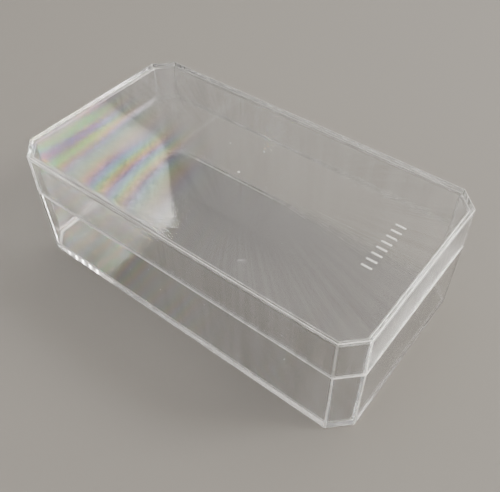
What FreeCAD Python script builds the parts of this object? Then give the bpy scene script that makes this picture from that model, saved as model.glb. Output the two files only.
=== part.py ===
import FreeCAD, Part
import math
import os
import Sketcher

# A clear two-piece box: an open tray and a lift-off lid whose skirt drops over the tray's tall
# upstand and comes down flush on its shoulder. Both are moulded in one piece each, in plan a
# rectangle with its four corners cut off. +Z is up, X is the long way and the origin is the
# middle of the underside.

doc = FreeCAD.newDocument("clear_box")

# ---------------------------------------------------------------- driving dimensions
SIZES = (
    ("box_length", "165"),
    ("box_width", "89"),
    ("base_height", "35.5"),      # underside to shoulder
    ("skirt_height", "19.5"),     # shoulder to the top of the lid
    ("corner_cut", "8"),          # each way, off every vertical corner
    ("lid_wall", "1.5"),
    ("lid_plate", "2"),
    ("floor_plate", "2.2"),
    ("rim_wall", "0.8"),          # the upstand's thickness at its rim
    ("fit_gap", "0.1"),           # skirt to upstand, each side
    ("head_gap", "0.5"),          # rim of the upstand to the lid's ceiling
    ("draft_angle", "0.5"),       # degrees, on every wall
    ("foot_radius", "0.8"),
    ("floor_radius", "1"),
    ("lid_edge_bevel", "0.3"),
    ("ceiling_bevel", "0.3"),
    ("rim_bevel", "0.2"),
    ("mark_bar_length", "4.4"),   # along the box
    ("mark_bar_width", "0.9"),
    ("mark_bar_height", "0.2"),
    ("mark_pitch", "3.4"),
    ("mark_count", "8"),
    ("mark_from_end", "17.5"),    # middle of the bars to the end of the box
    ("gate_nub_radius", "0.6"),
    ("gate_nub_height", "0.2"),
    ("gate_dimple_radius", "1.5"),
    ("gate_dimple_depth", "0.4"),
)
DERIVED = (
    ("upstand_height", "=skirt_height - lid_plate - head_gap"),
    ("upstand_inset", "=lid_wall + fit_gap"),
    ("rim_inset", "=upstand_inset + upstand_height * tan(draft_angle * 1deg) + rim_wall"),
    ("cavity_depth", "=base_height + upstand_height - floor_plate"),
)

sizes = doc.addObject("Spreadsheet::Sheet", "sizes")
for row, (alias, value) in enumerate(SIZES + DERIVED, start=1):
    sizes.set(f"A{row}", alias)
    sizes.set(f"B{row}", value)
    sizes.setAlias(f"B{row}", alias)
doc.recompute()


def size(alias):
    """One of the sheet's values, as a plain number."""
    return float(sizes.get(alias))


# ---------------------------------------------------------------- shared steps
def new_body(label):
    body = doc.addObject("PartDesign::Body", label)
    body.Label = label
    body.Placement = FreeCAD.Placement()
    return body


def level_sketch(body, name, height):
    """A sketch facing up, at the height that the expression gives."""
    sketch = body.newObject("Sketcher::SketchObject", name)
    plane = next(f for f in body.Origin.OriginFeatures if f.Role == "XY_Plane")
    sketch.AttachmentSupport = [(plane, "")]
    sketch.MapMode = "FlatFace"
    sketch.setExpression("AttachmentOffset.Base.z", height)
    return sketch


def octagon(body, name, height, inset):
    """The box's outline, brought in by inset on every side, so that a wall between two of
    these has one thickness along the sides and across the cut corners."""
    sketch = level_sketch(body, name, height)
    length, width, cut = size("box_length"), size("box_width"), size("corner_cut")
    corners = (
        (-length / 2 + cut, -width / 2), (length / 2 - cut, -width / 2),
        (length / 2, -width / 2 + cut), (length / 2, width / 2 - cut),
        (length / 2 - cut, width / 2), (-length / 2 + cut, width / 2),
        (-length / 2, width / 2 - cut), (-length / 2, -width / 2 + cut),
    )
    points = [FreeCAD.Vector(x, y, 0) for x, y in corners]
    for start, end in zip(points, points[1:] + points[:1]):
        sketch.addGeometry(Part.LineSegment(start, end), False)
    near, near_right, right, far, left = 0, 1, 2, 4, 6
    x_axis, y_axis = -1, -2
    for line in range(8):
        sketch.addConstraint(Sketcher.Constraint("Coincident", line, 2, (line + 1) % 8, 1))
    sketch.addConstraint(Sketcher.Constraint("Symmetric", near, 1, near, 2, y_axis))
    sketch.addConstraint(Sketcher.Constraint("Symmetric", far, 1, far, 2, y_axis))
    sketch.addConstraint(Sketcher.Constraint("Symmetric", right, 1, right, 2, x_axis))
    sketch.addConstraint(Sketcher.Constraint("Symmetric", left, 1, left, 2, x_axis))
    sketch.addConstraint(Sketcher.Constraint("Symmetric", near, 1, far, 2, x_axis))
    sketch.addConstraint(Sketcher.Constraint("Symmetric", right, 1, left, 2, y_axis))
    cut_inset = f"({inset}) * (2 - sqrt(2))"
    for kind, first, second, start, formula in (
        ("DistanceX", (left, 1), (right, 1), length, f"sizes.box_length - 2 * ({inset})"),
        ("DistanceY", (near, 1), (far, 1), width, f"sizes.box_width - 2 * ({inset})"),
        ("DistanceX", (near_right, 1), (near_right, 2), cut, f"sizes.corner_cut - {cut_inset}"),
        ("DistanceY", (near_right, 1), (near_right, 2), cut, f"sizes.corner_cut - {cut_inset}"),
    ):
        number = sketch.addConstraint(Sketcher.Constraint(kind, *first, *second, start))
        sketch.setExpression(f"Constraints[{number}]", formula)
    return sketch


def raise_block(body, name, sketch, height, down=False, drafted=True):
    """A pad whose walls lean in by the draft angle as they leave the sketch."""
    pad = body.newObject("PartDesign::Pad", name)
    pad.Profile = sketch
    pad.Reversed = down
    pad.setExpression("Length", height)
    if drafted:
        pad.setExpression("TaperAngle", "-sizes.draft_angle")
    return pad


def hollow_out(body, name, sketch, depth, down, drafted=True):
    """A pocket whose walls lean in by the draft angle as they leave the sketch."""
    pocket = body.newObject("PartDesign::Pocket", name)
    pocket.Profile = sketch
    pocket.Reversed = not down
    pocket.setExpression("Length", depth)
    if drafted:
        pocket.setExpression("TaperAngle", "-sizes.draft_angle")
    return pocket


def ease_edges(body, kind, name, amount, wanted):
    """A fillet or a chamfer on the edges of the body's tip that wanted() picks."""
    doc.recompute()
    base = body.Tip
    picked = [f"Edge{n}" for n, edge in enumerate(base.Shape.Edges, start=1) if wanted(edge)]
    eased = body.newObject(f"PartDesign::{kind}", name)
    eased.Base = (base, picked)
    eased.setExpression("Radius" if kind == "Fillet" else "Size", amount)
    body.Tip = eased


def level_edge(height):
    """A test for straight edges that lie level at the height."""
    tolerance = 1e-4

    def wanted(edge):
        box = edge.BoundBox
        level = abs(box.ZMin - height) < tolerance and abs(box.ZMax - height) < tolerance
        return level and edge.Curve.TypeId == "Part::GeomLine"

    return wanted


def disc(body, name, height, radius):
    """A circle about the box's middle, as a sketch at the given height."""
    sketch = level_sketch(body, name, height)
    sketch.addGeometry(Part.Circle(FreeCAD.Vector(), FreeCAD.Vector(0, 0, 1), 1), False)
    sketch.addConstraint(Sketcher.Constraint("Coincident", 0, 3, -1, 1))
    number = sketch.addConstraint(Sketcher.Constraint("Radius", 0, 1))
    sketch.setExpression(f"Constraints[{number}]", radius)
    return sketch


# ---------------------------------------------------------------- base tray
def make_base():
    """The open tray, with its outer wall up to the shoulder and the thin upstand above it. Its
    gate is a nub in a shallow dimple, so that it stands on its flat underside."""
    body = new_body("base")
    shoulder = "sizes.base_height"
    outline = octagon(body, "shoulder_outline", shoulder, "0")
    raise_block(body, "outer_wall", outline, "sizes.base_height", down=True)
    step = octagon(body, "upstand_outline", shoulder, "sizes.upstand_inset")
    raise_block(body, "upstand", step, "sizes.upstand_height")
    rim = "sizes.base_height + sizes.upstand_height"
    mouth = octagon(body, "mouth_outline", rim, "sizes.rim_inset")
    hollow_out(body, "cavity", mouth, "sizes.cavity_depth", down=True)
    dimple = disc(body, "dimple_outline", "0", "sizes.gate_dimple_radius")
    hollow_out(body, "gate_dimple", dimple, "sizes.gate_dimple_depth", down=False, drafted=False)
    nub = disc(body, "nub_outline", "sizes.gate_dimple_depth", "sizes.gate_nub_radius")
    raise_block(body, "gate_nub", nub, "sizes.gate_nub_height", down=True, drafted=False)
    foot = level_edge(0)
    floor = level_edge(size("floor_plate"))
    lip = level_edge(size("base_height") + size("upstand_height"))
    ease_edges(body, "Fillet", "foot_edge", "sizes.foot_radius", foot)
    ease_edges(body, "Fillet", "floor_edge", "sizes.floor_radius", floor)
    ease_edges(body, "Chamfer", "rim_edge", "sizes.rim_bevel", lip)
    return body


# ---------------------------------------------------------------- lid
def make_lid():
    """The lid, with the same outline as the shoulder that its rim stands on. Its top carries
    the nub left by the gate and a row of plain raised bars near the right end."""
    body = new_body("lid")
    shoulder = "sizes.base_height"
    outline = octagon(body, "rim_outline", shoulder, "0")
    raise_block(body, "skirt_block", outline, "sizes.skirt_height")
    inside = octagon(body, "skirt_inside", shoulder, "sizes.lid_wall")
    depth = "sizes.skirt_height - sizes.lid_plate"
    hollow_out(body, "skirt_hollow", inside, depth, down=False)
    top = "sizes.base_height + sizes.skirt_height"
    nub = disc(body, "nub_outline", top, "sizes.gate_nub_radius")
    raise_block(body, "gate_nub", nub, "sizes.gate_nub_height", drafted=False)
    top_height = size("base_height") + size("skirt_height")
    outer = level_edge(top_height)
    ceiling = level_edge(top_height - size("lid_plate"))
    ease_edges(body, "Chamfer", "top_edge", "sizes.lid_edge_bevel", outer)
    ease_edges(body, "Chamfer", "ceiling_edge", "sizes.ceiling_bevel", ceiling)
    make_mark(body, top)
    return body


def make_mark(body, top):
    """Raised bars with round ends, in a row across the lid, all as long as each other."""
    sketch = level_sketch(body, "bar_outline", top)
    length, width = size("mark_bar_length"), size("mark_bar_width")
    centre = size("box_length") / 2 - size("mark_from_end")
    first = -size("mark_pitch") * (size("mark_count") - 1) / 2
    half = (length - width) / 2
    radius = width / 2
    up = FreeCAD.Vector(0, 0, 1)
    left = FreeCAD.Vector(centre - half, first, 0)
    right = FreeCAD.Vector(centre + half, first, 0)
    across = FreeCAD.Vector(0, radius, 0)
    quarter = math.pi / 2
    sketch.addGeometry(Part.LineSegment(left - across, right - across), False)
    sketch.addGeometry(Part.ArcOfCircle(Part.Circle(right, up, radius), -quarter, quarter), False)
    sketch.addGeometry(Part.LineSegment(right + across, left + across), False)
    sketch.addGeometry(
        Part.ArcOfCircle(Part.Circle(left, up, radius), quarter, 3 * quarter), False)
    for line in range(4):
        sketch.addConstraint(Sketcher.Constraint("Tangent", line, 2, (line + 1) % 4, 1))
    sketch.addConstraint(Sketcher.Constraint("Horizontal", 0))
    straight = "sizes.mark_bar_length - sizes.mark_bar_width"
    for kind, first_point, second_point, start, formula in (
        ("DistanceX", (-1, 1), (1, 3), centre + half,
         f"sizes.box_length / 2 - sizes.mark_from_end + ({straight}) / 2"),
        ("DistanceX", (3, 3), (1, 3), 2 * half, straight),
        ("DistanceY", (1, 3), (-1, 1), -first, "sizes.mark_pitch * (sizes.mark_count - 1) / 2"),
    ):
        number = sketch.addConstraint(
            Sketcher.Constraint(kind, *first_point, *second_point, start))
        sketch.setExpression(f"Constraints[{number}]", formula)
    number = sketch.addConstraint(Sketcher.Constraint("Radius", 1, radius))
    sketch.setExpression(f"Constraints[{number}]", "sizes.mark_bar_width / 2")
    raise_block(body, "mark_bar", sketch, "sizes.mark_bar_height", drafted=False)
    doc.recompute()
    row = body.newObject("PartDesign::LinearPattern", "mark_row")
    row.Originals = [body.Tip]
    row.Direction = (sketch, ["V_Axis"])
    row.setExpression("Length", "sizes.mark_pitch * (sizes.mark_count - 1)")
    row.setExpression("Occurrences", "sizes.mark_count")
    body.Tip = row


# ---------------------------------------------------------------- build, check and write
def check(made):
    """Stops on any failed object and on any sub-part whose shape is missing or unsound."""
    failed = [o.Name for o in doc.Objects if {"Invalid", "Error"} & set(o.State)]
    if failed:
        raise SystemExit(f"failed objects: {failed}")
    for body in made:
        shape = body.Shape
        if shape.isNull() or not shape.isValid() or len(shape.Solids) != 1:
            raise SystemExit(f"{body.Label} has no single sound solid")


pieces = [make_base(), make_lid()]
doc.recompute()
check(pieces)
os.makedirs("parts", exist_ok=True)
for piece in pieces:
    piece.Shape.exportStep(f"parts/{piece.Label}.step")
    box = piece.Shape.optimalBoundingBox(False, False)
    print(piece.Label, round(piece.Shape.Volume), "mm3,", [round(v, 3) for v in (
        box.XLength, box.YLength, box.ZMin, box.ZMax)])
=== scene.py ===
import math

import bmesh
import bpy
from mathutils import Matrix, Vector


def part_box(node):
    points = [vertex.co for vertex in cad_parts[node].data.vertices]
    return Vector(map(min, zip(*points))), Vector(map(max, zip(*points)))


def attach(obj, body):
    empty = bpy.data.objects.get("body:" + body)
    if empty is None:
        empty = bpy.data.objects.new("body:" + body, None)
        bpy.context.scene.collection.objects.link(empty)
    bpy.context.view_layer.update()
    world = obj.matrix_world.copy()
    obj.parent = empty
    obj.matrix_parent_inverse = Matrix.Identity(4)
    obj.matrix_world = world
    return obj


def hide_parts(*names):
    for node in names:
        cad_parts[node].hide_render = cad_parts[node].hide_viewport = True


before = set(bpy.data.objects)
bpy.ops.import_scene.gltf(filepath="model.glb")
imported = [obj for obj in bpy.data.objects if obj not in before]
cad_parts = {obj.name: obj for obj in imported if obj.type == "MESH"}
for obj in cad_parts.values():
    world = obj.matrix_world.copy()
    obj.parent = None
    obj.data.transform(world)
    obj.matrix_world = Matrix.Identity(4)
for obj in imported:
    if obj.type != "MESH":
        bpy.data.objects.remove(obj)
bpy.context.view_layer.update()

# ------------------------------------------------------------------ base tray
# The open tray is one injection moulding of water-clear crystal polystyrene: a floor, an outer
# wall up to the shoulder, and above it a thin upstand that the lid drops over. It was filled
# from one gate in the middle of its underside, where a nub is left in a shallow dimple.
base_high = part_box("base")[1]
lid_low, lid_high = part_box("lid")
half_length = base_high.x
half_width = base_high.y
shoulder = lid_low.z
rim = base_high.z
corner_cut = 0.008
lean = math.tan(math.radians(0.5))
lid_wall = 0.0015
fit_gap = 0.0001
rim_wall = 0.0008
floor_top = 0.0022
upstand_inset = lid_wall + fit_gap
rim_inset = upstand_inset + (rim - shoulder) * lean
mouth_inset = rim_inset + rim_wall
dimple_radius = 0.0015
dimple_depth = 0.0004
nub_radius = 0.0006
nub_height = 0.0002
foot_rounding = 0.0008
shoulder_rounding = 0.0006
root_rounding = 0.0002
mouth_rounding = 0.00025
floor_rounding = 0.0009
outer_corner_rounding = 0.0004
inner_corner_rounding = 0.0003


def octagon(inset, height):
    """The box's outline, brought in by inset on every side, as eight points."""
    x = half_length - inset
    y = half_width - inset
    cut = corner_cut - inset * (2 - math.sqrt(2))
    half = ((x - cut, -y), (x, -y + cut), (x, y - cut), (x - cut, y))
    return [Vector((a, b, height)) for a, b in half] + [Vector((-a, -b, height)) for a, b in half]


def skin(shape, loops):
    """Closes a skin over rows of points, each joined to the next, and over the two ends."""
    count = len(loops[0])
    for lower, upper in zip(loops, loops[1:]):
        for n in range(count):
            m = (n + 1) % count
            shape.faces.new((lower[n], lower[m], upper[m], upper[n]))
    shape.faces.new(loops[0][::-1])
    shape.faces.new(loops[-1])
    bmesh.ops.recalc_face_normals(shape, faces=shape.faces)


def as_object(shape, name):
    """The finished shape as an object in the scene."""
    mesh = bpy.data.meshes.new(name)
    shape.to_mesh(mesh)
    shape.free()
    made = bpy.data.objects.new(name, mesh)
    bpy.context.scene.collection.objects.link(made)
    return made


def moulded_shell(name, rings):
    """A closed skin through the rings, which run from the middle of one face round the lips to
    the middle of the other. Each ring is its outline's inset, its height, and how far its
    level edges and the upright edges that leave it for the next ring are rounded."""
    shape = bmesh.new()
    widest = max(max(level, upright) for _, _, level, upright in rings)
    weight = shape.edges.layers.float.new("bevel_weight_edge")
    loops = [[shape.verts.new(point) for point in octagon(ring[0], ring[1])] for ring in rings]
    skin(shape, loops)
    for number, (_, _, level, upright) in enumerate(rings):
        loop = loops[number]
        for n in range(8):
            shape.edges.get((loop[n], loop[(n + 1) % 8]))[weight] = level / widest
            if number + 1 < len(loops):
                shape.edges.get((loop[n], loops[number + 1][n]))[weight] = upright / widest
    made = as_object(shape, name)
    rounding = made.modifiers.new("rounding", "BEVEL")
    rounding.limit_method = "WEIGHT"
    rounding.width = widest
    rounding.segments = 4
    rounding.material = 1
    return made


def turned(name, profile, steps=48):
    """A solid of revolution about the box's middle, through (radius, height) pairs."""
    shape = bmesh.new()
    loops = []
    for radius, height in profile:
        angles = [math.tau * n / steps for n in range(steps)]
        loops.append([shape.verts.new((radius * math.cos(a), radius * math.sin(a), height))
                      for a in angles])
    skin(shape, loops)
    return as_object(shape, name)


def plain_mesh(made, name):
    """What the object's modifiers make of it, as a new object with none."""
    bpy.context.view_layer.update()
    evaluated = made.evaluated_get(bpy.context.evaluated_depsgraph_get())
    mesh = bpy.data.meshes.new_from_object(evaluated)
    mesh.name = name
    bpy.data.objects.remove(made)
    finished = bpy.data.objects.new(name, mesh)
    bpy.context.scene.collection.objects.link(finished)
    return finished


def keep_faces_flat(made):
    """Smooth roundings between faces that stay optically flat, and sharp creases elsewhere."""
    sharpest_smooth_edge = math.radians(40)
    large_faces_first = 100
    made.data.shade_smooth()
    made.data.set_sharp_from_angle(angle=sharpest_smooth_edge)
    flat = made.modifiers.new("flat faces", "WEIGHTED_NORMAL")
    flat.keep_sharp = True
    flat.weight = large_faces_first


tray = moulded_shell("tray", (
    (shoulder * lean, 0, foot_rounding, outer_corner_rounding),
    (0, shoulder, shoulder_rounding, 0),
    (upstand_inset, shoulder, root_rounding, inner_corner_rounding),
    (rim_inset, rim, mouth_rounding, 0),
    (mouth_inset, rim, mouth_rounding, 0),
    (mouth_inset + (rim - floor_top) * lean, floor_top, floor_rounding, 0),
))
# What is cut from the underside: a shallow round dimple that leaves the nub in its middle.
nub_top = dimple_depth - nub_height
gate_dimple = turned("gate_dimple", (
    (dimple_radius * 1.05, -dimple_depth),
    (dimple_radius * 1.05, 0),
    (dimple_radius * 0.99, dimple_depth * 0.5),
    (dimple_radius * 0.9, dimple_depth * 0.85),
    (dimple_radius * 0.75, dimple_depth),
    (nub_radius, dimple_depth),
    (nub_radius * 0.9, nub_top + nub_height * 0.3),
    (nub_radius * 0.6, nub_top),
))
dimpling = tray.modifiers.new("dimpling", "BOOLEAN")
dimpling.operation = "DIFFERENCE"
dimpling.object = gate_dimple


def group(name, inputs, outputs):
    """An empty shader node group with its named sockets and its two end nodes."""
    tree = bpy.data.node_groups.new(name, "ShaderNodeTree")
    for label, kind, value in inputs:
        socket = tree.interface.new_socket(label, in_out="INPUT", socket_type=kind)
        if value is not None:
            socket.default_value = value
    for label, kind in outputs:
        tree.interface.new_socket(label, in_out="OUTPUT", socket_type=kind)
    return tree, tree.nodes.new("NodeGroupInput"), tree.nodes.new("NodeGroupOutput")


def wire(tree, node, **sockets):
    """Gives a node's inputs, by name with _ for a space, a value or another node's output."""
    for label, value in sockets.items():
        label = label.replace("_", " ")
        place = int(label[2:]) if label.startswith("no") and label[2:].isdigit() else label
        if isinstance(value, bpy.types.NodeSocket):
            tree.links.new(value, node.inputs[place])
        else:
            node.inputs[place].default_value = value


def add_node(tree, kind, **sockets):
    """A new node of the given kind, with its inputs wired."""
    node = tree.nodes.new(kind)
    wire(tree, node, **sockets)
    return node


def calculate(tree, operation, first, second=0.0, third=0.0):
    """One step of arithmetic on numbers or other nodes' outputs."""
    node = tree.nodes.new("ShaderNodeMath")
    node.operation = operation
    wire(tree, node, no0=first, no1=second, no2=third)
    return node.outputs[0]


def noise(tree, vector, scale, detail=2.0, roughness=0.5, distortion=0.0):
    """Smooth random values from 0 to 1, with about scale humps to each unit of the vector."""
    node = tree.nodes.new("ShaderNodeTexNoise")
    wire(tree, node, Vector=vector, Scale=scale, Detail=detail, Roughness=roughness,
         Distortion=distortion)
    return node.outputs["Fac"]


def rise(tree, value, start, end):
    """0 up to start and 1 from end on, with a smooth rise between."""
    node = tree.nodes.new("ShaderNodeMapRange")
    node.interpolation_type = "SMOOTHSTEP"
    wire(tree, node, Value=value, From_Min=start, From_Max=end)
    return node.outputs["Result"]


def calculate_vector(tree, operation, first, second):
    """One step of arithmetic on places or directions."""
    node = tree.nodes.new("ShaderNodeVectorMath")
    node.operation = operation
    wire(tree, node, no0=first, no1=second)
    return node.outputs["Vector"]


def make_flow_lines():
    """The faint waves that the plastic froze in as it ran outwards from its gate: clear in the
    middle, and strongest where it turned down into the walls. The streak output is painted shade:
    darker streaks along the waves, standing in for the distortion seen through them."""
    calm_radius = 0.012
    full_radius = 0.07
    wander_per_metre = (9, 9, 14)
    tree, given, out = group(
        "flow_lines",
        (("Place", "NodeSocketVector", None), ("Waves", "NodeSocketFloat", 26.0)),
        (("Height", "NodeSocketFloat"), ("Streak", "NodeSocketFloat")))
    level = calculate_vector(tree, "MULTIPLY", given.outputs["Place"], (1, 1, 0))
    away = tree.nodes.new("ShaderNodeVectorMath")
    away.operation = "LENGTH"
    wire(tree, away, no0=level)
    distance = away.outputs["Value"]
    heading = tree.nodes.new("ShaderNodeVectorMath")
    heading.operation = "NORMALIZE"
    wire(tree, heading, no0=level)
    drift = calculate_vector(tree, "MULTIPLY", given.outputs["Place"], wander_per_metre)
    fan = tree.nodes.new("ShaderNodeVectorMath")
    fan.operation = "SCALE"
    wire(tree, fan, no0=heading.outputs["Vector"], Scale=given.outputs["Waves"])
    run = calculate_vector(tree, "ADD", fan.outputs["Vector"], drift)
    strands = noise(tree, run, 1.0, detail=4, roughness=0.62, distortion=0.25)
    grown = rise(tree, distance, calm_radius, full_radius)
    wire(tree, out, Height=calculate(tree, "MULTIPLY", strands, grown))
    # Painted shade: where the waves stand high, the plastic's colour is darkened in streaks.
    shade_streak = calculate(tree, "MULTIPLY", rise(tree, strands, 0.42, 0.62), grown)
    wire(tree, out, Streak=shade_streak)
    return tree


def make_hairlines():
    """Hair scratches and dust from handling: short fine lines that lie every way, and specks."""
    scratches_along = 240
    scratches_across = 3200
    specks_across = 160.0
    tree, given, out = group(
        "hairlines",
        (("Place", "NodeSocketVector", None),),
        (("Height", "NodeSocketFloat"), ("Rough", "NodeSocketFloat")))
    total = None
    for turn, stretch in ((0.4, 1.0), (1.7, 1.3), (2.6, 0.8)):
        laid = tree.nodes.new("ShaderNodeMapping")
        laid.inputs["Rotation"].default_value = (turn, turn * 0.5, turn)
        laid.inputs["Scale"].default_value = (
            scratches_along * stretch, scratches_across, scratches_across)
        tree.links.new(given.outputs["Place"], laid.inputs["Vector"])
        lines = noise(tree, laid.outputs["Vector"], 1.0, detail=0)
        patches = noise(tree, given.outputs["Place"], 45 * stretch, detail=1)
        fine = rise(tree, lines, 0.74, 0.8)
        thin = calculate(tree, "MULTIPLY", fine, rise(tree, patches, 0.56, 0.68))
        total = thin if total is None else calculate(tree, "MAXIMUM", total, thin)
    specks = tree.nodes.new("ShaderNodeTexVoronoi")
    wire(tree, specks, Vector=given.outputs["Place"], Scale=specks_across)
    dots = rise(tree, specks.outputs["Distance"], 0.06, 0.03)
    sparse = rise(tree, noise(tree, given.outputs["Place"], 60, detail=0), 0.6, 0.66)
    dust = calculate(tree, "MULTIPLY", dots, sparse)
    half_matt = calculate(tree, "MULTIPLY", total, 0.5)
    wire(tree, out, Height=total, Rough=calculate(tree, "MAXIMUM", half_matt, dust))
    return tree


def blend_colours(tree, amount, first, second):
    """The first colour where amount is 0, and the second where it is 1."""
    node = tree.nodes.new("ShaderNodeMix")
    node.data_type = "RGBA"
    colour_in = [socket for socket in node.inputs if socket.type == "RGBA"]
    for socket, value in ((node.inputs[0], amount), (colour_in[0], first), (colour_in[1], second)):
        if isinstance(value, bpy.types.NodeSocket):
            tree.links.new(value, socket)
        else:
            socket.default_value = value
    return next(socket for socket in node.outputs if socket.type == "RGBA")


def make_painted_stress_rainbow():
    """Painted rainbow reflection: the pastel bands that frozen-in stress shows in clear
    polystyrene in the window's reflected light, painted into the plastic's colour. They lie level
    on the left end wall and side by side on the plates that meet it, and they are strongest at the
    near corner of that end, where the window's reflection lies."""
    climb_share = 0.9
    skew_share = 0.13
    wander_reach = 0.022
    least_strength = 0.35
    far_strength = 0.15
    tree, given, out = group(
        "painted_stress_rainbow",
        (("Place", "NodeSocketVector", None), ("Bands", "NodeSocketFloat", 100.0),
         ("Depth", "NodeSocketFloat", 1.0)),
        (("Color", "NodeSocketColor"),))
    parts = add_node(tree, "ShaderNodeSeparateXYZ", Vector=given.outputs["Place"])
    along = parts.outputs["X"]
    slow = calculate_vector(tree, "MULTIPLY", given.outputs["Place"], (30, 12, 30))
    soft = noise(tree, slow, 1.0, detail=2)
    climb = calculate(tree, "MULTIPLY_ADD", parts.outputs["Z"], climb_share, along)
    skew = calculate(tree, "MULTIPLY", parts.outputs["Y"], skew_share)
    wander = calculate(tree, "MULTIPLY", soft, wander_reach)
    phase = calculate(tree, "ADD", calculate(tree, "ADD", climb, skew), wander)
    turns = calculate(tree, "FRACT", calculate(tree, "MULTIPLY", phase, given.outputs["Bands"]))
    hues = add_node(tree, "ShaderNodeValToRGB", Fac=turns)
    stops = (
        (0.0, (0.84, 0.62, 0.95)), (0.17, (0.52, 0.68, 1.0)), (0.34, (0.60, 1.0, 0.93)),
        (0.5, (0.82, 1.0, 0.55)), (0.66, (1.0, 0.92, 0.45)), (0.83, (1.0, 0.64, 0.52)),
        (1.0, (0.84, 0.62, 0.95)),
    )
    ramp = hues.color_ramp
    ramp.interpolation = "B_SPLINE"
    ramp.elements[0].color = (*stops[0][1], 1)
    ramp.elements[1].color = (*stops[-1][1], 1)
    for place, colour in stops[1:-1]:
        ramp.elements.new(place).color = (*colour, 1)
    # Painted reflection: these masks make the rainbow strongest at the near corner of the left
    # end, where the window's reflection lies.
    near_side = rise(tree, parts.outputs["Y"], 0.018, -0.016)
    inside_wall = rise(tree, parts.outputs["Y"], -0.0425, -0.040)
    left_end = rise(tree, along, 0.004, -0.045)
    near_part = calculate(tree, "MULTIPLY", near_side, inside_wall)
    reflection_patch = calculate(tree, "MULTIPLY", left_end, near_part)
    patchy = rise(tree, noise(tree, slow, 1.7, detail=1), 0.3, 0.6)
    faint = calculate(tree, "MULTIPLY", rise(tree, soft, 0.5, 0.8), far_strength)
    uneven = calculate(tree, "MAXIMUM", patchy, least_strength)
    strong = calculate(tree, "MULTIPLY", reflection_patch, uneven)
    amount = calculate(tree, "MAXIMUM", strong, faint)
    # The painted rainbow reflection, blended in from white by amount.
    painted_rainbow = blend_colours(tree, amount, (1, 1, 1, 1), hues.outputs["Color"])
    deepened = add_node(tree, "ShaderNodeGamma", Color=painted_rainbow, Gamma=given.outputs["Depth"])
    wire(tree, out, Color=deepened.outputs["Color"])
    return tree


flow_lines = make_flow_lines()
hairlines = make_hairlines()
painted_stress_rainbow = make_painted_stress_rainbow()


def let_lamps_through(tree, shader, square_on, edge_on):
    """Lamps shine through the plastic: square on it dims them little, and edge-on more."""
    facing = add_node(tree, "ShaderNodeLayerWeight", Blend=0.2)
    veil = blend_colours(tree, facing.outputs["Facing"], (*square_on, 1), (*edge_on, 1))
    passing = add_node(tree, "ShaderNodeBsdfTransparent", Color=veil)
    rays = tree.nodes.new("ShaderNodeLightPath")
    mixed = tree.nodes.new("ShaderNodeMixShader")
    tree.links.new(rays.outputs["Is Shadow Ray"], mixed.inputs[0])
    tree.links.new(shader.outputs["BSDF"], mixed.inputs[1])
    tree.links.new(passing.outputs["BSDF"], mixed.inputs[2])
    tree.links.new(mixed.outputs["Shader"], tree.nodes["Material Output"].inputs["Surface"])


def placed(tree, effect, **sockets):
    """A shared effect put to use in a material, with its inputs wired."""
    node = tree.nodes.new("ShaderNodeGroup")
    node.node_tree = effect
    wire(tree, node, **sockets)
    return node


def clear_plastic(name, waves, wave_depth, bands, depth):
    """Polished crystal polystyrene, with its flow lines, hair scratches, painted rainbow
    reflection and painted shade streaks.
    """
    polish = 0.012
    scratch_matt = 0.35
    # Painted shade: the flow lines darken the plastic's colour towards this grey, by this much.
    painted_streak_strength = 0.3
    painted_streak_shade = (0.70, 0.68, 0.66, 1)
    plastic = bpy.data.materials.new(name)
    plastic.use_nodes = True
    tree = plastic.node_tree
    shader = tree.nodes["Principled BSDF"]
    wire(tree, shader, IOR=1.59, Transmission_Weight=1.0)
    place = tree.nodes.new("ShaderNodeTexCoord").outputs["Object"]
    flow = placed(tree, flow_lines, Place=place, Waves=waves)
    worn = placed(tree, hairlines, Place=place)
    # Painted rainbow reflection from the plastic's stress, laid into its colour.
    colours = placed(tree, painted_stress_rainbow, Place=place, Bands=bands, Depth=depth)
    # Painted shade streaks along the flow lines, laid over the painted rainbow reflection.
    shade = calculate(tree, "MULTIPLY", flow.outputs["Streak"], painted_streak_strength)
    tint = blend_colours(tree, shade, colours.outputs["Color"], painted_streak_shade)
    rough = calculate(tree, "MULTIPLY_ADD", worn.outputs["Rough"], scratch_matt, polish)
    waved = add_node(tree, "ShaderNodeBump", Strength=1.0, Distance=wave_depth,
                     Height=flow.outputs["Height"])
    scratched = add_node(tree, "ShaderNodeBump", Strength=0.25, Distance=0.00001,
                         Height=worn.outputs["Height"], Normal=waved.outputs["Normal"])
    wire(tree, shader, Base_Color=tint, Roughness=rough, Normal=scratched.outputs["Normal"])
    let_lamps_through(tree, shader, (0.965, 0.965, 0.97), (0.60, 0.60, 0.62))
    return plastic


def dulled_plastic(name, grain):
    """The same plastic where the mould left it a little matt: its roundings and what stands
    proud of it, which catch the light as white lines."""
    least_matt = 0.2
    matt_range = 0.16
    plastic = bpy.data.materials.new(name)
    plastic.use_nodes = True
    tree = plastic.node_tree
    shader = tree.nodes["Principled BSDF"]
    wire(tree, shader, IOR=1.59, Transmission_Weight=0.2)
    place = tree.nodes.new("ShaderNodeTexCoord").outputs["Object"]
    patches = noise(tree, place, 140, detail=2)
    uneven = rise(tree, patches, 0.3, 0.7)
    matt = calculate(tree, "MULTIPLY_ADD", uneven, matt_range, least_matt)
    # Partly painted light: the cream stands for the window's warm light on these lines, and it
    # changes at random with white from patch to patch.
    tint = blend_colours(tree, patches, (1, 0.97, 0.89, 1), (1, 1, 1, 1))
    fine = add_node(tree, "ShaderNodeBump", Strength=0.3, Distance=0.00001,
                    Height=noise(tree, place, grain, detail=1))
    wire(tree, shader, Base_Color=tint, Roughness=matt, Normal=fine.outputs["Normal"])
    let_lamps_through(tree, shader, (0.9, 0.9, 0.9), (0.7, 0.7, 0.7))
    return plastic


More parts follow.
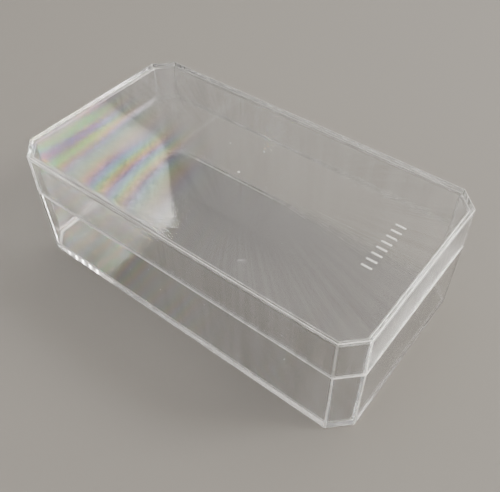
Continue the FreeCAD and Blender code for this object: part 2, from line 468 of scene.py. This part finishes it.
edge_grain = 9000
base_plastic = clear_plastic("clear_polystyrene_tray", waves=14.0, wave_depth=0.000012,
                             bands=125.0, depth=0.9)
base_edge = dulled_plastic("dulled_polystyrene_tray", edge_grain)
for plastic in (base_plastic, base_edge):
    tray.data.materials.append(plastic)
base_tray = plain_mesh(tray, "base_tray")
bpy.data.objects.remove(gate_dimple)
keep_faces_flat(base_tray)
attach(base_tray, "base")
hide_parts("base")

# ------------------------------------------------------------------ lid
# The lid is a second moulding of the same plastic: a flat plate and a skirt that drops over the
# upstand and stands on the shoulder, flush with the tray's wall. It carries a row of plain
# raised bars across its right end, and the nub that its gate left in the middle.
lid_top = 0.055
plate = 0.002
seat_line = 0.00006
bar_count = 8
bar_pitch = 0.0034
bar_length = 0.0044
bar_width = 0.0009
bar_height = lid_high.z - lid_top
bar_row = half_length - 0.0175
plate_rounding = 0.0003
lip_rounding = 0.00055
mouth_edge_rounding = 0.0002

cap = moulded_shell("cap", (
    (lid_wall + (lid_top - plate - shoulder) * lean, lid_top - plate, plate_rounding,
     inner_corner_rounding),
    (lid_wall, shoulder + seat_line, mouth_edge_rounding, 0),
    (0, shoulder + seat_line, lip_rounding, outer_corner_rounding),
    ((lid_top - shoulder) * lean, lid_top, plate_rounding, 0),
))


def dome(tree, width, height, stretch):
    """A low rounded pip, drawn out along X by stretch, half of it sunk below its place."""
    middle_band = 0.00001
    radius = calculate(tree, "DIVIDE", width, 2.0)
    ball = add_node(tree, "GeometryNodeMeshUVSphere", Segments=24, Rings=12, Radius=radius)
    where = tree.nodes.new("GeometryNodeInputPosition").outputs["Position"]
    parts = add_node(tree, "ShaderNodeSeparateXYZ", Vector=where)
    side = calculate(tree, "SIGN", calculate(tree, "SNAP", parts.outputs["X"], middle_band))
    drawn = calculate(tree, "MULTIPLY_ADD", side, stretch, parts.outputs["X"])
    raised = calculate(tree, "MULTIPLY", parts.outputs["Z"], height)
    low = calculate(tree, "DIVIDE", raised, radius)
    shaped = add_node(tree, "ShaderNodeCombineXYZ", X=drawn, Y=parts.outputs["Y"], Z=low)
    return add_node(tree, "GeometryNodeSetPosition", Geometry=ball.outputs["Mesh"],
                    Position=shaped.outputs["Vector"]).outputs["Geometry"]


def make_lid_relief():
    """Joins the row of raised bars and the gate's nub to the lid, as one solid, and gives all
    that stands proud of the plate the dulled finish."""
    just_proud = 0.000005
    tree = bpy.data.node_groups.new("lid_relief", "GeometryNodeTree")
    for label, kind in (
        ("Geometry", "NodeSocketGeometry"), ("Bar Count", "NodeSocketInt"),
        ("Bar Pitch", "NodeSocketFloat"), ("Bar Length", "NodeSocketFloat"),
        ("Bar Width", "NodeSocketFloat"), ("Height", "NodeSocketFloat"),
        ("Row Middle", "NodeSocketVector"), ("Gate", "NodeSocketVector"),
        ("Nub Width", "NodeSocketFloat"), ("Dulled", "NodeSocketMaterial"),
    ):
        tree.interface.new_socket(label, in_out="INPUT", socket_type=kind)
    tree.interface.new_socket("Geometry", in_out="OUTPUT", socket_type="NodeSocketGeometry")
    given = tree.nodes.new("NodeGroupInput").outputs
    out = tree.nodes.new("NodeGroupOutput")
    gaps = calculate(tree, "SUBTRACT", given["Bar Count"], 1.0)
    row_length = calculate(tree, "MULTIPLY", gaps, given["Bar Pitch"])
    half_row = calculate(tree, "MULTIPLY", row_length, 0.5)
    step = add_node(tree, "ShaderNodeCombineXYZ", Y=given["Bar Pitch"])
    back = add_node(tree, "ShaderNodeCombineXYZ", Y=half_row)
    first = calculate_vector(tree, "SUBTRACT", given["Row Middle"], back.outputs["Vector"])
    row = add_node(tree, "GeometryNodeMeshLine", Count=given["Bar Count"], Start_Location=first,
                   Offset=step.outputs["Vector"])
    straight = calculate(tree, "SUBTRACT", given["Bar Length"], given["Bar Width"])
    half_straight = calculate(tree, "MULTIPLY", straight, 0.5)
    bar = dome(tree, given["Bar Width"], given["Height"], half_straight)
    bars = add_node(tree, "GeometryNodeInstanceOnPoints", Points=row.outputs["Mesh"], Instance=bar)
    pip = dome(tree, given["Nub Width"], given["Height"], 0.0)
    nub = add_node(tree, "GeometryNodeTransform", Geometry=pip, Translation=given["Gate"])
    raised = add_node(tree, "GeometryNodeJoinGeometry")
    tree.links.new(bars.outputs["Instances"], raised.inputs["Geometry"])
    tree.links.new(nub.outputs["Geometry"], raised.inputs["Geometry"])
    loose = add_node(tree, "GeometryNodeRealizeInstances", Geometry=raised.outputs["Geometry"])
    joined = tree.nodes.new("GeometryNodeMeshBoolean")
    joined.operation = "UNION"
    joined.solver = "EXACT"
    tree.links.new(given["Geometry"], joined.inputs["Mesh 2"])
    tree.links.new(loose.outputs["Geometry"], joined.inputs["Mesh 2"])
    whole = add_node(tree, "GeometryNodeRealizeInstances", Geometry=joined.outputs["Mesh"])
    where = tree.nodes.new("GeometryNodeInputPosition").outputs["Position"]
    height = add_node(tree, "ShaderNodeSeparateXYZ", Vector=where)
    plate_top = add_node(tree, "ShaderNodeSeparateXYZ", Vector=given["Gate"])
    proud = tree.nodes.new("FunctionNodeCompare")
    proud.operation = "GREATER_THAN"
    proud_from = calculate(tree, "ADD", plate_top.outputs["Z"], just_proud)
    wire(tree, proud, A=height.outputs["Z"], B=proud_from)
    painted = add_node(tree, "GeometryNodeSetMaterial", Geometry=whole.outputs["Geometry"],
                       Selection=proud.outputs["Result"], Material=given["Dulled"])
    tree.links.new(painted.outputs["Geometry"], out.inputs["Geometry"])
    return tree


lid_plastic = clear_plastic("clear_polystyrene_lid", waves=60.0, wave_depth=0.00005,
                            bands=90.0, depth=1.5)
lid_edge = dulled_plastic("dulled_polystyrene_lid", edge_grain)
for plastic in (lid_plastic, lid_edge):
    cap.data.materials.append(plastic)
relief = cap.modifiers.new("relief", "NODES")
relief_tree = make_lid_relief()
relief_values = {
    "Bar Count": bar_count, "Bar Pitch": bar_pitch, "Bar Length": bar_length,
    "Bar Width": bar_width, "Height": bar_height, "Row Middle": (bar_row, 0, lid_top),
    "Gate": (0, 0, lid_top), "Nub Width": 2 * nub_radius, "Dulled": lid_edge,
}
relief.node_group = relief_tree
for item in relief_tree.interface.items_tree:
    if item.in_out == "INPUT" and item.name in relief_values:
        relief[item.identifier] = relief_values[item.name]
lid_shell = plain_mesh(cap, "lid_shell")
keep_faces_flat(lid_shell)
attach(lid_shell, "lid")
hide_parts("lid")

# ------------------------------------------------------------------ studio
# A plain pale floor under the box, a soft window lamp behind it on the right, and a surround
# that is brighter on the window's side. A second lamp stands in the window's place and lights
# nothing: it is what shines through the plastic and lies as a bright patch on the left end.
floor_gap = 0.0003
floor_reach = 3.0
sheet = bmesh.new()
corners = ((-1, -1), (1, -1), (1, 1), (-1, 1))
sheet.faces.new([sheet.verts.new((x * floor_reach, y * floor_reach, -floor_gap))
                 for x, y in corners])
floor = as_object(sheet, "floor")
floor_paint = bpy.data.materials.new("pale_floor")
floor_paint.use_nodes = True
wire(floor_paint.node_tree, floor_paint.node_tree.nodes["Principled BSDF"],
     Base_Color=(0.26, 0.247, 0.228, 1), Roughness=1.0)
floor.data.materials.append(floor_paint)


def soft_lamp(name, direction, distance, width, power, colour):
    """A square lamp with a soft box over it, aimed at the middle of the object's foot."""
    light = bpy.data.lights.new(name, "AREA")
    light.size = width
    light.energy = power
    light.color = colour
    lamp = bpy.data.objects.new(name, light)
    bpy.context.scene.collection.objects.link(lamp)
    away = Vector(direction).normalized()
    facing = away.to_track_quat("Z", "Y").to_matrix().to_4x4()
    lamp.matrix_world = Matrix.Translation(away * distance) @ facing
    return lamp


window = Vector((0.620, 0.450, 0.643))
window_distance = 2.0
window_width = 0.62
window_colour = (1.0, 0.97, 0.92)
window_power = 45.0
glint_power = 280.0
soft_lamp("window_lamp", window, window_distance, window_width, window_power, window_colour)
glint = soft_lamp("window_glint", window, window_distance, window_width, glint_power,
                  window_colour)
glint.visible_diffuse = False
glint.visible_glossy = False

room_colour = (0.42, 0.43, 0.45, 1)
window_side_colour = (1.6, 1.5, 1.35, 1)
surround = bpy.data.worlds.new("surround")
surround.use_nodes = True
sky = surround.node_tree
background = sky.nodes["Background"]
ray = sky.nodes.new("ShaderNodeTexCoord").outputs["Generated"]
towards = sky.nodes.new("ShaderNodeVectorMath")
towards.operation = "DOT_PRODUCT"
wire(sky, towards, no0=ray, no1=window)
glow = rise(sky, towards.outputs["Value"], 0.1, 1.0)
room = blend_colours(sky, glow, room_colour, window_side_colour)
wire(sky, background, Color=room, Strength=1.0)
bpy.context.scene.world = surround

# ------------------------------------------------------------------ camera
# It stands off the near right corner and looks down on the box, with a slight roll.
turn = math.radians(38.84)
tilt = math.radians(47.19)
roll = math.radians(-1.0)
reach = 0.2894
aim_right = 0.00396
aim_up = 0.00835
back = Vector((math.sin(turn) * math.cos(tilt), -math.cos(turn) * math.cos(tilt), math.sin(tilt)))
level = Vector((math.cos(turn), math.sin(turn), 0))
upright = back.cross(level)
right = level * math.cos(roll) + upright * math.sin(roll)
up = upright * math.cos(roll) - level * math.sin(roll)
lens = bpy.data.cameras.new("camera")
lens.sensor_width = 36
lens.lens = 45.8
lens.clip_start = 0.01
lens.clip_end = 20
camera = bpy.data.objects.new("camera", lens)
bpy.context.scene.collection.objects.link(camera)
seat = back * reach + level * aim_right + upright * aim_up
camera.matrix_world = Matrix.Translation(seat) @ Matrix((right, up, back)).transposed().to_4x4()
bpy.context.scene.camera = camera

# ------------------------------------------------------------------ finish
# Light runs a long way inside clear walls before it leaves them.
bounces = 400
brightest_bounce = 1000
cycles = bpy.context.scene.cycles
cycles.max_bounces = bounces
cycles.transmission_bounces = bounces
cycles.glossy_bounces = bounces
cycles.transparent_max_bounces = bounces
cycles.caustics_reflective = False
cycles.caustics_refractive = False
cycles.sample_clamp_indirect = brightest_bounce
